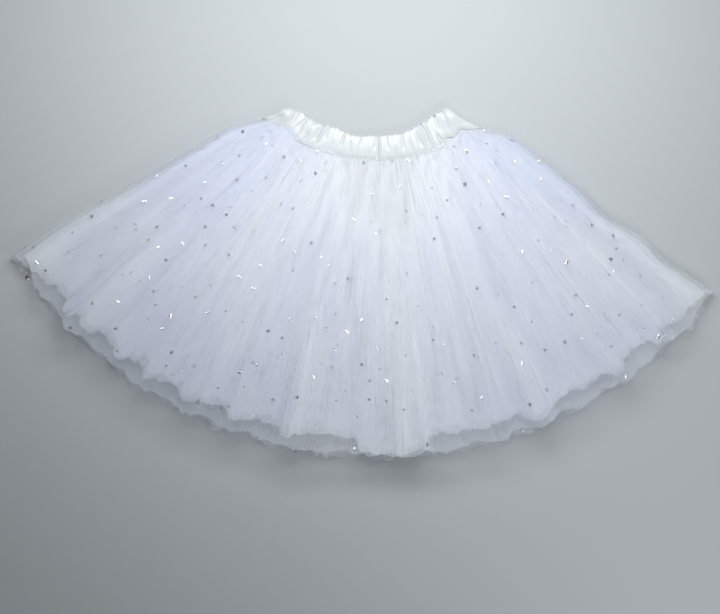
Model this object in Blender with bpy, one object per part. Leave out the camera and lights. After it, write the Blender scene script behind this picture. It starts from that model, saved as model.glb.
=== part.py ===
"""A child's ballet tutu laid flat on a table, in metres, +Z up.

The skirt lies as a fan. Its waistband is at +Y, its hem at -Y, and its front faces up. Three layers of
tulle, each cut as a front and a back panel, hang from one ruched satin waistband. The origin is the
middle of the underside's box. Plan positions are polar: an angle from the skirt's middle line, in
degrees, positive towards +X, and a distance from the point where the skirt's side edges would meet.
"""

import math
from collections import namedtuple

import bpy

# The fan.
FAN_X = 0.01345
FAN_Y = 0.23843
WAIST_RADIUS = 0.124
WAIST_DROOP = 0.0115
DROOP_ANGLE = 50.0
SEAM_GAP = 0.0004

# The cloth.
TULLE_WALL = 0.001
INNER_HALF = 0.0023
ROLL_SHARE = 0.9

# The waistband, a flattened ring.
BAND_WALL = 0.0026
BAND_STACK = 0.008
BAND_ROLL = 0.005
BAND_ROWS = (0.0, 0.5, 1.0)
RUCHES = 22
RUCHE_DEPTH = 0.0006

Layer = namedtuple("Layer", "name waist_left waist_right hem_left hem_right front_hem back_hem loft")
LAYERS = (
    Layer("outer", -51.0, 45.6, -57.4, 50.8, 0.3925, 0.3985, 1.0),
    Layer("middle", -50.0, 44.6, -56.2, 49.6, 0.3790, 0.3800, 0.5),
    Layer("inner", -49.0, 43.6, -55.0, 48.4, 0.3735, 0.3750, 0.0),
)

# From the waist (down 0) to the hem (down 1): how much of its widening a layer has done, the height of
# the whole stack, the share of it that is left at the side edges, and the height of a full flute. The
# layers flare out just below the waistband.
Row = namedtuple("Row", "down spread stack side flute")
ROWS = (
    Row(0.00, 0.00, 0.0105, 1.00, 0.0000),
    Row(0.12, 0.75, 0.0210, 0.85, 0.0010),
    Row(0.38, 0.88, 0.0310, 0.65, 0.0028),
    Row(0.72, 0.92, 0.0390, 0.50, 0.0048),
    Row(1.00, 1.00, 0.0400, 0.46, 0.0065),
)
# The skirt thins towards its side edges over so many degrees.
SIDE_SPAN = 16.0

# The largest folds, from left to right: the angle at the hem, the half width in degrees, the height, and
# how much further the hem reaches there.
Flute = namedtuple("Flute", "angle width height reach")
FLUTES = (
    Flute(-51.5, 3.2, 0.55, -0.002),
    Flute(-45.8, 3.4, 0.95, 0.003),
    Flute(-39.5, 2.8, 0.50, -0.003),
    Flute(-32.5, 4.2, 0.85, 0.001),
    Flute(-26.8, 2.6, 0.65, -0.004),
    Flute(-20.5, 3.0, 0.55, -0.002),
    Flute(-11.2, 4.0, 0.95, -0.001),
    Flute(4.2, 3.4, 1.00, 0.004),
    Flute(15.8, 3.0, 0.70, -0.003),
    Flute(22.3, 3.2, 0.85, 0.001),
    Flute(28.5, 2.6, 0.50, -0.004),
    Flute(34.6, 3.4, 0.75, 0.000),
    Flute(40.0, 2.2, 0.50, -0.003),
    Flute(45.1, 4.0, 0.95, 0.001),
)

# One flute's columns: place across it in half widths, and share of its height.
Column = namedtuple("Column", "place rise")
FLUTE_SHAPE = (
    Column(-0.75, 0.0),
    Column(-0.25, 0.9),
    Column(0.25, 1.0),
    Column(0.75, 0.0),
)
# Columns round a rolled edge, in degrees from its side.
ROLL_COLUMNS = (0.0, 30.0, 60.0)

# The waistband's two faces, from the left side to the right. Angle and radius of the top edge, then the
# lower edge's angle. The lower edge lies on the waist line.
BandSection = namedtuple("BandSection", "across top_angle top_radius low_angle")
BAND_FRONT = (
    BandSection(0.00, -49.8, 0.1200, -51.5),
    BandSection(0.05, -45.6, 0.1095, -46.7),
    BandSection(0.12, -39.5, 0.1062, -39.9),
    BandSection(0.21, -31.0, 0.1052, -31.1),
    BandSection(0.30, -22.3, 0.1018, -22.4),
    BandSection(0.40, -12.7, 0.1036, -12.7),
    BandSection(0.52, -1.1, 0.1012, -1.1),
    BandSection(0.65, 11.6, 0.1016, 11.6),
    BandSection(0.76, 21.8, 0.0990, 22.2),
    BandSection(0.86, 31.0, 0.0972, 31.9),
    BandSection(0.94, 38.0, 0.0970, 39.7),
    BandSection(1.00, 40.8, 0.0995, 45.5),
)
BAND_BACK = (
    BandSection(0.00, -49.8, 0.1200, -51.5),
    BandSection(0.05, -45.2, 0.1108, -46.7),
    BandSection(0.21, -31.0, 0.1042, -31.1),
    BandSection(0.40, -12.7, 0.1044, -12.7),
    BandSection(0.65, 11.6, 0.1028, 11.6),
    BandSection(0.86, 31.0, 0.0984, 31.9),
    BandSection(0.94, 37.6, 0.0982, 39.7),
    BandSection(1.00, 40.8, 0.0995, 45.5),
)

SATIN_COLOUR = (0.90, 0.92, 0.93, 1.0)
TULLE_COLOUR = (0.80, 0.84, 0.92, 1.0)


def clear_scene():
    for obj in list(bpy.data.objects):
        bpy.data.objects.remove(obj, do_unlink=True)


def make_material(name, colour, roughness):
    material = bpy.data.materials.new(name)
    material.use_nodes = True
    shader = material.node_tree.nodes["Principled BSDF"]
    shader.inputs["Base Color"].default_value = colour
    shader.inputs["Roughness"].default_value = roughness
    shader.inputs["Metallic"].default_value = 0.0
    return material


def mix(a, b, share):
    return a + (b - a) * share


def in_plan(angle, radius, z):
    """The point at that angle and distance from the fan's centre."""
    turn = math.radians(angle)
    return (FAN_X + radius * math.sin(turn), FAN_Y - radius * math.cos(turn), z)


def waist_radius(angle):
    """Where the waistband's lower edge lies: it droops away from the fan's centre towards both sides."""
    return WAIST_RADIUS + WAIST_DROOP * (angle / DROOP_ANGLE) ** 2


def roll_point(degrees, radius, wall):
    """(distance in from the side, share of the full height) round a quarter-round edge of cloth."""
    turn = math.radians(degrees)
    return radius - (radius - wall) * math.cos(turn), math.sin(turn)


def make_wall(name, outer, inner, material, closed=False):
    """A closed wall between two faces, each a list of columns of points, with its rims between them."""
    columns, rows = len(outer), len(outer[0])
    points = [point for column in outer + inner for point in column]
    offset = columns * rows
    faces = []
    for i in range(columns if closed else columns - 1):
        a, b = i * rows, (i + 1) % columns * rows
        for j in range(rows - 1):
            faces.append((a + j, a + j + 1, b + j + 1, b + j))
            faces.append((offset + a + j, offset + b + j, offset + b + j + 1, offset + a + j + 1))
        end = rows - 1
        faces.append((a, b, offset + b, offset + a))
        faces.append((a + end, offset + a + end, offset + b + end, b + end))
    if not closed:
        last = offset - rows
        for j in range(rows - 1):
            faces.append((j, offset + j, offset + j + 1, j + 1))
            faces.append((last + j, last + j + 1, offset + last + j + 1, offset + last + j))
    mesh = bpy.data.meshes.new(name)
    mesh.from_pydata(points, [], faces)
    mesh.materials.append(material)
    mesh.shade_smooth()
    mesh.set_sharp_from_angle(angle=math.radians(50))
    obj = bpy.data.objects.new(name, mesh)
    bpy.context.scene.collection.objects.link(obj)
    return obj


def flute_columns():
    """(place across the flat part, height, reach at the hem) of every column of the folds."""
    outer = LAYERS[0]
    columns = [(0.0, 0.0, 0.0)]
    for flute in FLUTES:
        for column in FLUTE_SHAPE:
            angle = flute.angle + column.place * flute.width
            place = (angle - outer.hem_left) / (outer.hem_right - outer.hem_left)
            columns.append((place, column.rise * flute.height, column.rise * flute.reach))
    columns.append((1.0, 0.0, 0.0))
    return columns


def panel_columns():
    """(side, place, height, reach) from the left edge to the right, where side -1 and 1 are rolled edges."""
    columns = [(-1, degrees, 0.0, 0.0) for degrees in ROLL_COLUMNS]
    columns += [(0, *column) for column in flute_columns()]
    columns += [(1, degrees, 0.0, 0.0) for degrees in reversed(ROLL_COLUMNS)]
    return columns


def thinning(row, away):
    """Share of the stack's full height so many degrees in from a side edge."""
    share = min(max(away / SIDE_SPAN, 0.0), 1.0)
    return mix(row.side, 1.0, share * share * (3 - 2 * share))


def panel_point(layer, face, wall, row, side, place, height, reach):
    """A point on a layer's front (face 1) or back (face -1) panel, that wall in from its outer face."""
    left = mix(layer.waist_left, layer.hem_left, row.spread)
    right = mix(layer.waist_right, layer.hem_right, row.spread)
    hem = layer.front_hem if face > 0 else layer.back_hem
    width = math.radians(right - left) * mix(WAIST_RADIUS, hem, row.down)
    roll = ROLL_SHARE * mix(INNER_HALF, row.side * row.stack / 2, layer.loft)
    if side:
        distance, lift = roll_point(place, roll, wall)
        distance = distance if side < 0 else width - distance
    else:
        distance, lift = roll + place * (width - 2 * roll), 1.0
    angle = mix(left, right, distance / width)
    outer_half = thinning(row, min(angle - left, right - angle)) * row.stack / 2
    half = mix(INNER_HALF, outer_half, layer.loft)
    radius = mix(waist_radius(angle) + SEAM_GAP, hem + reach, row.down)
    z = outer_half + face * mix(SEAM_GAP / 2, half - wall, lift) + height * row.flute
    return in_plan(angle, radius, z)


def make_panel(layer, face, material):
    side_name = "front" if face > 0 else "back"
    columns = panel_columns()[::face]
    outer, inner = (
        [[panel_point(layer, face, wall, row, *column) for row in ROWS] for column in columns]
        for wall in (0.0, TULLE_WALL)
    )
    return make_wall(f"tulle_{layer.name}_{side_name}", outer, inner, material)


def band_edge(sections, across):
    """(top angle, top radius, lower angle) of a face of the waistband, between its sections."""
    for a, b in zip(sections, sections[1:]):
        if across <= b.across:
            share = (across - a.across) / (b.across - a.across)
            return [mix(p, q, share) for p, q in zip(a[1:], b[1:])]
    return list(sections[-1][1:])


def band_stations(wall):
    """(across, share of the full height, ruche depth) from the left edge to the right."""
    width = math.radians(BAND_FRONT[-1].low_angle - BAND_FRONT[0].low_angle) * WAIST_RADIUS
    edge = [roll_point(degrees, BAND_ROLL, wall) for degrees in ROLL_COLUMNS]
    left = [(distance / width, lift, 0.0) for distance, lift in edge]
    right = [(1 - across, lift, ruche) for across, lift, ruche in reversed(left)]
    start = BAND_ROLL / width
    count = 2 * RUCHES
    middle = [(mix(start, 1 - start, i / count), 1.0, RUCHE_DEPTH * (i % 2)) for i in range(count + 1)]
    return left + middle + right


def band_column(face, wall, across, lift, ruche):
    """Points down one column of the ring, from the top edge to the lower edge."""
    front = band_edge(BAND_FRONT, across)
    back = band_edge(BAND_BACK, across)
    share = (1 + face * lift) / 2
    top_angle, top_radius, low_angle = (mix(b, f, share) for f, b in zip(front, back))
    half = BAND_STACK / 2
    z = half + face * lift * (half - wall - ruche)
    low_radius = waist_radius(low_angle)
    return [in_plan(mix(top_angle, low_angle, s), mix(top_radius, low_radius, s), z) for s in BAND_ROWS]


def make_waistband(material):
    outer, inner = (
        [band_column(1, wall, *station) for station in band_stations(wall)]
        + [band_column(-1, wall, *station) for station in reversed(band_stations(wall)[1:-1])]
        for wall in (0.0, BAND_WALL)
    )
    return make_wall("waistband", outer, inner, material, closed=True)


def main():
    clear_scene()
    satin = make_material("satin", SATIN_COLOUR, 0.35)
    tulle = make_material("tulle", TULLE_COLOUR, 0.7)
    make_waistband(satin)
    for layer in LAYERS:
        make_panel(layer, 1, tulle)
        make_panel(layer, -1, tulle)


main()
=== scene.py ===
"""The looks of a child's ballet tutu that lies flat on a table, in metres, +Z up.

Its parts are three layers of gathered tulle, a ruched satin waistband, star sequins and gathering
stitches. Plan positions are polar: an angle from the skirt's middle line, in degrees, positive towards
+X, and a distance from the point where the skirt's side edges would meet. "down" runs from 0 at the
waist to 1 at the hem.
"""

import math
from collections import namedtuple

import bpy
import numpy as np
from bpy.props import FloatProperty, FloatVectorProperty, IntProperty, PointerProperty
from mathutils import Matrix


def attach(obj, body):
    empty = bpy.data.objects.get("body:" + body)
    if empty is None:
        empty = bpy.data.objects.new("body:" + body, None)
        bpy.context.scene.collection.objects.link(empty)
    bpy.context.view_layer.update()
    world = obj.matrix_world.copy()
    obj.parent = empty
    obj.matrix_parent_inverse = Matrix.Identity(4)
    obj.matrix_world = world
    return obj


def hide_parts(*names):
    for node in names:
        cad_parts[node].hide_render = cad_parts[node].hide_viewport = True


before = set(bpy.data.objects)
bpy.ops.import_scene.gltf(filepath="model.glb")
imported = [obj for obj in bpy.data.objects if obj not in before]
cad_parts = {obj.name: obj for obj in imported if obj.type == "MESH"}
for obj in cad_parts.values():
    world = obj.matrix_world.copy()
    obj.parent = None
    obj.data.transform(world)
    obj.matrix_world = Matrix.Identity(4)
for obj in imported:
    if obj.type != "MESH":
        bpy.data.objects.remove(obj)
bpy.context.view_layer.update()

bl_info = {
    "name": "Ballet tutu",
    "version": (1, 0, 0),
    "blender": (4, 5, 0),
    "location": "View3D > Sidebar > Tutu",
    "description": "Makes a child's star-sequin ballet tutu, laid flat as a fan",
    "category": "Add Mesh",
}

# The fan: its centre, the radius of the waist line, how far that droops towards the sides and at which
# angle, and the gap between the satin and the tulle.
FAN_X = 0.01345
FAN_Y = 0.23843
WAIST_RADIUS = 0.124
WAIST_DROOP = 0.0115
DROOP_ANGLE = 50.0
SEAM_GAP = 0.0004

# Heights of the whole stack of layers, how quickly it rises below the waistband, and half the height of
# the innermost layer.
WAIST_STACK = 0.0078
HEM_STACK = 0.040
STACK_RISE = 2.6
INNER_HALF = 0.0023
# A layer's side folds: how far each reaches in, as a share of the layer's half height, how sharp it is, and
# how the other folds fade away round it.
ROLL_SHARE = 1.1
ROLL_SHARPNESS = 1.2
ROLL_FADE = 0.7
# The skirt thins towards its side edges over so many degrees, to a share of its height, as (down, share).
SIDE_SPAN = 16.0
SIDE_HEIGHT = ((0.0, 1.0), (0.12, 0.85), (0.38, 0.65), (0.72, 0.50), (1.0, 0.46))

# The layers: the angles of their side edges at the waist and at the hem, the radii of their hems, how far
# each opens to the stack's full height, and the seed of its small folds.
Tier = namedtuple("Tier", "name waist_left waist_right hem_left hem_right front_hem back_hem loft seed")
TIERS = (
    Tier("outer", -51.0, 45.6, -57.4, 50.8, 0.3925, 0.3985, 1.0, 11),
    Tier("middle", -50.0, 44.6, -56.7, 50.1, 0.3790, 0.3800, 0.5, 23),
    Tier("inner", -49.0, 43.6, -55.8, 49.2, 0.3735, 0.3750, 0.0, 37),
)

# How much of its widening a layer has done, as (down, share). It flares out just below the waistband.
SPREAD = ((0.0, 0.0), (0.12, 0.75), (0.38, 0.88), (0.72, 0.92), (1.0, 1.0))

# Columns of a tier's mesh across its front or its back, and round each side fold, and its rows from waist
# to hem.
FACE_COLUMNS = 600
SIDE_COLUMNS = 44
TIER_ROWS = 56

# The main folds of the front: where each runs at the waist and at the hem, how far down it starts, its
# width in degrees, and its share of the full height.
Fold = namedtuple("Fold", "top low start width height")
FRONT_FOLDS = [Fold(*row) for row in (
    (-47.5, -51.5, 0.05, 3.2, 0.55),
    (-43.0, -45.8, 0.30, 3.4, 0.95),
    (-37.0, -39.5, 0.15, 2.8, 0.50),
    (-29.5, -32.5, 0.08, 4.2, 0.85),
    (-24.5, -26.8, 0.45, 2.6, 0.65),
    (-19.0, -20.5, 0.20, 3.0, 0.55),
    (-11.0, -11.2, 0.30, 4.0, 0.95),
    (-2.5, -2.0, 0.10, 2.4, 0.45),
    (3.5, 4.2, 0.25, 3.4, 1.00),
    (9.5, 10.0, 0.40, 2.4, 0.45),
    (14.5, 15.8, 0.12, 3.0, 0.70),
    (20.0, 22.3, 0.35, 3.2, 0.85),
    (26.0, 28.5, 0.20, 2.6, 0.50),
    (31.5, 34.6, 0.30, 3.4, 0.75),
    (36.5, 40.0, 0.45, 2.4, 0.50),
    (40.5, 44.8, 0.15, 4.0, 0.95),
)]
BACK_FOLDS = [Fold(*row) for row in (
    (-46.0, -50.0, 0.20, 3.4, 0.70),
    (-39.5, -43.0, 0.10, 3.0, 0.55),
    (-34.0, -36.5, 0.35, 3.8, 0.90),
    (-27.0, -29.0, 0.15, 2.8, 0.50),
    (-21.5, -22.5, 0.25, 3.6, 0.80),
    (-14.5, -15.8, 0.40, 2.6, 0.55),
    (-7.0, -7.6, 0.12, 4.0, 1.00),
    (1.0, 0.4, 0.30, 2.8, 0.60),
    (7.0, 7.4, 0.20, 3.4, 0.85),
    (12.5, 13.4, 0.45, 2.4, 0.45),
    (18.0, 19.6, 0.10, 3.8, 0.90),
    (25.0, 26.8, 0.30, 3.0, 0.60),
    (31.0, 33.6, 0.18, 3.6, 0.80),
    (37.5, 41.4, 0.35, 3.2, 0.70),
    (42.0, 46.6, 0.20, 3.0, 0.60),
)]
# A full fold's height at the hem, how steadily it grows towards there, and how far down it takes to rise.
FOLD_HEIGHT = 0.0065
FOLD_GROWTH = 0.87
FOLD_START = 0.55
# On a lower layer the folds and the doubled places lie up to so many degrees aside, and the folds keep at
# least this share of their height.
FOLD_WANDER = 1.2
PLEAT_WANDER = 4.0
LOWER_FOLDS = 0.75

# Places on the front where the tulle doubles over itself: where each runs, from and to how far down, its
# width in degrees, and the way it leans.
Pleat = namedtuple("Pleat", "top low start end width lean")
FRONT_PLEATS = [Pleat(*row) for row in (
    (-44.0, -46.6, 0.62, 1.10, 0.60, 1),
    (-31.0, -34.2, 0.20, 0.62, 0.45, -1),
    (-23.5, -24.8, 0.66, 1.10, 0.55, 1),
    (-11.5, -13.6, 0.50, 1.10, 0.65, 1),
    (-4.2, -4.0, 0.30, 0.62, 0.35, -1),
    (3.0, 2.2, 0.74, 1.10, 0.70, -1),
    (6.0, 6.5, 0.55, 1.10, 0.70, 1),
    (13.6, 10.6, 0.00, 0.24, 0.40, 1),
    (12.0, 10.6, 0.28, 0.46, 0.30, 1),
    (16.5, 18.0, 0.45, 0.95, 0.50, -1),
    (21.0, 24.0, 0.60, 1.10, 0.50, 1),
    (33.0, 36.4, 0.35, 0.85, 0.45, 1),
    (38.5, 43.0, 0.25, 1.10, 0.60, -1),
)]
BACK_PLEATS = [Pleat(*row) for row in (
    (-40.0, -44.4, 0.40, 1.10, 0.60, -1),
    (-29.0, -31.6, 0.10, 0.55, 0.45, 1),
    (-17.0, -18.8, 0.55, 1.10, 0.60, 1),
    (-5.0, -5.4, 0.20, 0.70, 0.50, -1),
    (4.0, 4.0, 0.60, 1.10, 0.55, -1),
    (15.0, 16.2, 0.35, 1.10, 0.60, 1),
    (28.0, 30.6, 0.05, 0.45, 0.45, -1),
    (35.5, 38.8, 0.50, 1.10, 0.60, 1),
)]
# How far the tulle turns over there, where more than 1 doubles it, how high its edge stands, and how far
# down it takes to begin and to end.
PLEAT_TURN = 1.35
PLEAT_LIFT = 0.0005
PLEAT_FADE = 0.12

# Stretches of the front painted lighter or darker, which puts light and shade into the cloth: whiter down
# the middle and at the tips of the sides, and darker along the sides below the waistband and towards the
# hem either side of the middle. The narrow stretches along folds also look whiter because more folds lie
# over each other there. Each gives where it runs, its half width in degrees, where it starts and ends, and
# its strength.
PaintedStretch = namedtuple("PaintedStretch", "top low width start end light")
PAINTED_STRETCHES = [PaintedStretch(*row) for row in (
    (0.0, 0.0, 17.0, -0.5, 1.2, 0.32),
    (-50.0, -56.0, 20.0, -0.5, 0.60, -0.75),
    (48.0, 52.0, 14.0, -0.5, 0.60, -0.60),
    (-25.0, -30.0, 30.0, 0.65, 1.5, -0.40),
    (25.0, 28.0, 30.0, 0.75, 1.5, -0.35),
    (-55.0, -56.5, 7.0, 0.80, 1.5, 0.90),
    (50.0, 51.0, 7.0, 0.75, 1.5, 0.80),
    (38.0, 42.0, 13.0, 0.45, 1.05, 0.30),
    (-42.0, -45.0, 2.6, 0.60, 1.2, 0.35),
    (-29.0, -31.5, 3.6, 0.05, 0.65, 0.30),
    (-10.0, -11.0, 3.6, 0.55, 1.2, 0.30),
    (3.0, 3.6, 2.6, 0.35, 1.2, 0.35),
    (15.0, 15.6, 2.4, 0.10, 0.85, 0.25),
    (21.0, 22.6, 1.8, 0.45, 1.2, 0.25),
    (41.0, 44.0, 3.4, 0.25, 0.75, 0.30),
)]

# How white the cloth is between them and at most, and how much whiter along a side fold.
WHITE_BASE = 0.24
WHITE_TOP = 0.75
SIDE_WHITE = 0.5
# The plainest white, below the waistband: its strength, its half width in degrees, and where it ends.
WAIST_WHITE = 0.70
WAIST_WHITE_SPAN = 48.0
WAIST_WHITE_END = 0.42
# Soft patches everywhere, as (wavelength in degrees, strength), and how far they lean as they run down.
PATCH_WAVES = ((31.0, 0.10), (13.0, 0.08), (5.3, 0.05))
PATCH_LEAN = 9.0
# How closely the threads lie where the cloth is blue and where it is whitest, as a share of their cover.
BLUE_CLOSENESS = 0.85
WHITE_CLOSENESS = 1.2

# Smaller folds between the main ones, and the fine gathers under the waistband.
SMALL_FOLDS = 44
SMALL_FOLD_HEIGHT = 0.0017
GATHERS = 92
GATHER_HEIGHT = 0.0008

# The hem: small scallops as (wavelength in degrees, height), and how far a full fold reaches past it.
SCALLOPS = ((7.3, 0.0012), (3.1, 0.0009), (1.7, 0.0007), (0.9, 0.0004))
FOLD_REACH = 0.0035

# Where the middle and inner layers reach further down: angle, half width in degrees, and length.
Tongue = namedtuple("Tongue", "angle width reach")
TONGUES = [Tongue(*row) for row in (
    (-55.0, 4.0, 0.009),
    (-47.4, 0.9, 0.009),
    (-43.8, 1.4, 0.007),
    (-38.0, 1.1, 0.008),
    (-33.2, 0.9, 0.007),
    (-27.4, 1.5, 0.006),
    (-20.2, 1.0, 0.005),
    (-13.0, 0.8, 0.003),
    (1.6, 4.6, 0.015),
    (14.5, 1.0, 0.003),
    (22.4, 2.4, 0.009),
    (29.6, 1.0, 0.005),
    (34.8, 1.3, 0.006),
    (41.5, 1.0, 0.008),
    (45.6, 1.1, 0.006),
    (49.5, 4.0, 0.007),
)]

# How far each side edge stands out, as (down, distance).
LEFT_SIDE = ((0.0, 0.0), (0.25, 0.001), (0.4, 0.0015), (0.55, 0.0025), (0.8, 0.006), (1.0, 0.002))
RIGHT_SIDE = ((0.0, 0.0), (0.1, 0.004), (0.25, 0.0045), (0.4, 0.004), (0.54, 0.0), (0.70, 0.0055),
              (0.81, 0.002), (0.90, 0.004), (1.0, 0.005))

# How far the satin's lower edge on the front lies above the waist line, as (angle, distance), and how far
# the outer tulle laps up over the satin there.
SATIN_RISE = ((-52.0, 0.0), (-46.0, 0.003), (-40.5, 0.005), (-35.0, 0.0), (27.5, 0.0), (31.5, 0.0072),
              (34.5, 0.0052), (38.4, 0.0086), (41.0, 0.0050), (44.8, 0.0004), (46.0, 0.0))
TULLE_LAP = ((-52.0, 0.0), (-46.0, 0.0015), (-38.0, 0.004), (-30.0, 0.008), (-22.0, 0.004), (-16.0, 0.001),
             (22.0, 0.001), (26.0, 0.004), (28.5, 0.003), (31.0, 0.0))
# The lapped edge: its unevenness, how high it lies over the satin, and how far down it comes off it.
LAP_SHARE = 0.8
LAP_WAVES = ((4.3, 0.20), (1.9, 0.20), (0.8, 0.15))
LAP_LIFT = 0.0024
LAP_LENGTH = 0.09

# Where the waistband's ends puff up: angle, radius, half widths across and down, and height.
Puff = namedtuple("Puff", "angle radius turn reach height")
PUFFS = [Puff(*row) for row in (
    (-46.5, 0.1165, 6.5, 0.012, 0.0034),
    (-33.0, 0.1120, 4.0, 0.009, 0.0012),
    (38.5, 0.1075, 7.5, 0.015, 0.0030),
)]

# The waistband: its height lying flat, the reach of its rolled ends, and the thickness of its casing with
# the elastic in it.
BAND_STACK = 0.008
BAND_ROLL = 0.005
BAND_CASING = 0.0034
# Its two faces, from the left side to the right: angle and radius of the top edge, then the lower edge's
# angle. The lower edge lies on the waist line.
BandSection = namedtuple("BandSection", "across top_angle top_radius low_angle")
BAND_FRONT = [BandSection(*row) for row in (
    (0.00, -49.8, 0.1200, -51.5),
    (0.05, -45.6, 0.1095, -46.7),
    (0.12, -39.5, 0.1062, -39.9),
    (0.21, -31.0, 0.1052, -31.1),
    (0.30, -22.3, 0.1018, -22.4),
    (0.40, -12.7, 0.1036, -12.7),
    (0.52, -1.1, 0.1012, -1.1),
    (0.65, 11.6, 0.1016, 11.6),
    (0.76, 21.8, 0.0990, 22.2),
    (0.86, 31.0, 0.0972, 31.9),
    (0.94, 38.0, 0.0970, 39.7),
    (1.00, 40.8, 0.0995, 45.5),
)]
BAND_BACK = [BandSection(*row) for row in (
    (0.00, -49.8, 0.1200, -51.5),
    (0.05, -45.2, 0.1108, -46.7),
    (0.21, -31.0, 0.1042, -31.1),
    (0.40, -12.7, 0.1044, -12.7),
    (0.65, 11.6, 0.1028, 11.6),
    (0.86, 31.0, 0.0984, 31.9),
    (0.94, 37.6, 0.0982, 39.7),
    (1.00, 40.8, 0.0995, 45.5),
)]
# The flat strip of satin, which is folded over lengthwise.
SATIN_LENGTH = 0.50
SATIN_WIDTH = 0.05
# The casing's mesh: its columns round the waist without its rolled ends, those of one end, and its rows
# round the section, which leaves out this share of a turn on each side of its seam.
BAND_COLUMNS = 760
BAND_SIDE_COLUMNS = 24
BAND_ROWS = 34
BAND_SEAM = 0.02
# How square the section is, its thickness at the seam, as a share of the full one, how far up the casing
# takes to fill out, and where its gathered top edge starts.
BAND_SQUARENESS = 0.45
SEAM_THICKNESS = 0.25
SEAM_REACH = 0.16
EDGE_START = 0.80
# The rows of the two lines of stitches: one on the outer face, and one on the inner.
STITCH_ROWS = (4, 29)

# The largest creases across the front of the waistband: angle, slant and half width in degrees, depth,
# and where each starts and ends between the lower edge, 0, and the top one, 1. A ridge's depth is negative.
Crease = namedtuple("Crease", "angle slant width depth start end")
BAND_CREASES = [Crease(*row) for row in (
    (-47.0, 3.0, 1.4, 0.0012, 0.0, 0.55),
    (-42.0, -2.5, 1.1, 0.0010, 0.35, 1.1),
    (-38.0, 1.5, 1.3, 0.0014, 0.45, 1.1),
    (-36.2, -1.0, 0.8, -0.0007, 0.30, 0.85),
    (-33.4, -1.5, 0.8, 0.0007, 0.05, 0.60),
    (-29.4, 0.8, 0.9, 0.0011, 0.35, 1.1),
    (-27.4, 0.5, 1.1, -0.0011, 0.25, 1.1),
    (-25.0, -0.8, 0.8, 0.0010, 0.50, 1.1),
    (-21.0, 1.8, 1.2, 0.0006, -0.1, 0.50),
    (-17.4, 1.0, 0.8, 0.0015, 0.50, 1.1),
    (-13.0, -1.2, 1.3, 0.0006, 0.15, 0.70),
    (-8.6, 0.6, 0.8, 0.0006, 0.60, 1.1),
    (-4.5, -0.5, 1.2, 0.0004, -0.1, 0.40),
    (-1.5, 0.4, 0.8, 0.0009, 0.45, 1.1),
    (-0.2, 0.3, 0.7, 0.0018, 0.10, 1.1),
    (1.0, 0.3, 0.8, -0.0009, 0.05, 0.90),
    (4.8, -0.8, 1.0, 0.0006, 0.45, 1.1),
    (8.6, 1.0, 0.8, 0.0008, 0.0, 0.45),
    (12.0, 0.6, 1.1, 0.0009, 0.40, 1.1),
    (15.6, -0.8, 0.8, 0.0006, 0.10, 0.70),
    (19.4, -1.2, 1.3, 0.0010, 0.35, 1.1),
    (21.6, 0.4, 0.8, -0.0009, 0.25, 1.0),
    (23.4, 0.8, 0.7, 0.0030, 0.25, 0.95),
    (25.4, 1.2, 0.9, -0.0008, 0.20, 0.95),
    (28.4, -1.0, 1.0, 0.0026, -0.1, 0.40),
    (30.5, 3.0, 1.0, 0.0008, 0.45, 1.1),
    (35.0, 4.0, 1.6, 0.0006, 0.30, 1.1),
)]
FINE_RUCHES = 230
# The right end lies smooth: where that starts and is complete, in degrees, and how much of the fine ruches
# it takes away.
FLAP_START = 27.0
FLAP_END = 31.0
FLAP_SMOOTHNESS = 0.85
# Unevenness of the gathered top edge, as (wavelength in degrees, height), where it is strongest, and how
# much the ruches raise that edge and the creases lower it.
EDGE_FRILL = ((5.1, 0.0003), (2.2, 0.0004), (1.1, 0.0003))
FRILL_STRENGTH = ((-50.0, 0.6), (-34.0, 1.6), (-24.0, 1.4), (-16.0, 0.6), (16.0, 0.6), (22.0, 2.2),
                  (36.0, 2.0), (39.0, 0.6))
EDGE_RUCHES = 1.2
EDGE_CREASES = 0.5

# How fine the satin's threads are along and across the strip, and the sewing thread's colours.
SATIN_THREADS = (900.0, 4200.0, 1.0)
THREAD_DARK = (0.74, 0.77, 0.80, 1.0)
THREAD_LIGHT = (0.90, 0.92, 0.94, 1.0)
# How soft the edges of the net's threads are, as a share of a hole's width, and over how many columns each
# way the closeness of the gathered threads is evened out.
NET_SOFTNESS = 0.03
COVER_REACH = 4

# A star: its inner points as a share of its outer ones, how far its middle is raised and how thick it is,
# as shares of its width, and the smallest and largest share of the full size.
STAR_WAIST = 2 / 4.8
STAR_RISE = 0.10
STAR_THICKNESS = 0.03
STAR_SMALLEST = 0.5
STAR_LARGEST = 1.15

# The table's half width, and how far it lies below the cloth.
TABLE_HALF = 8.0
TABLE_DROP = 0.0002
# The soft lamps: the setting that holds the power, the place, and the size. They face straight down.
Lamp = namedtuple("Lamp", "name setting place width depth")
LAMPS = (
    Lamp("key", "key_power", (0.020, 0.30, 0.55), 0.44, 0.17),
    Lamp("fill", "fill_power", (0.42, -0.46, 0.60), 0.35, 0.35),
)
SKY_COLOUR = (0.84, 0.92, 1.0, 1.0)
# Where the camera hangs, and the width of its sensor in millimetres.
CAMERA_X = -0.0032
CAMERA_Y = -0.0207
SENSOR = 36.0


# ---------------------------------------------------------------- settings

# What every colour setting shares.
COLOUR = {"size": 3, "min": 0.0, "max": 1.0, "subtype": "COLOR"}


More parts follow.
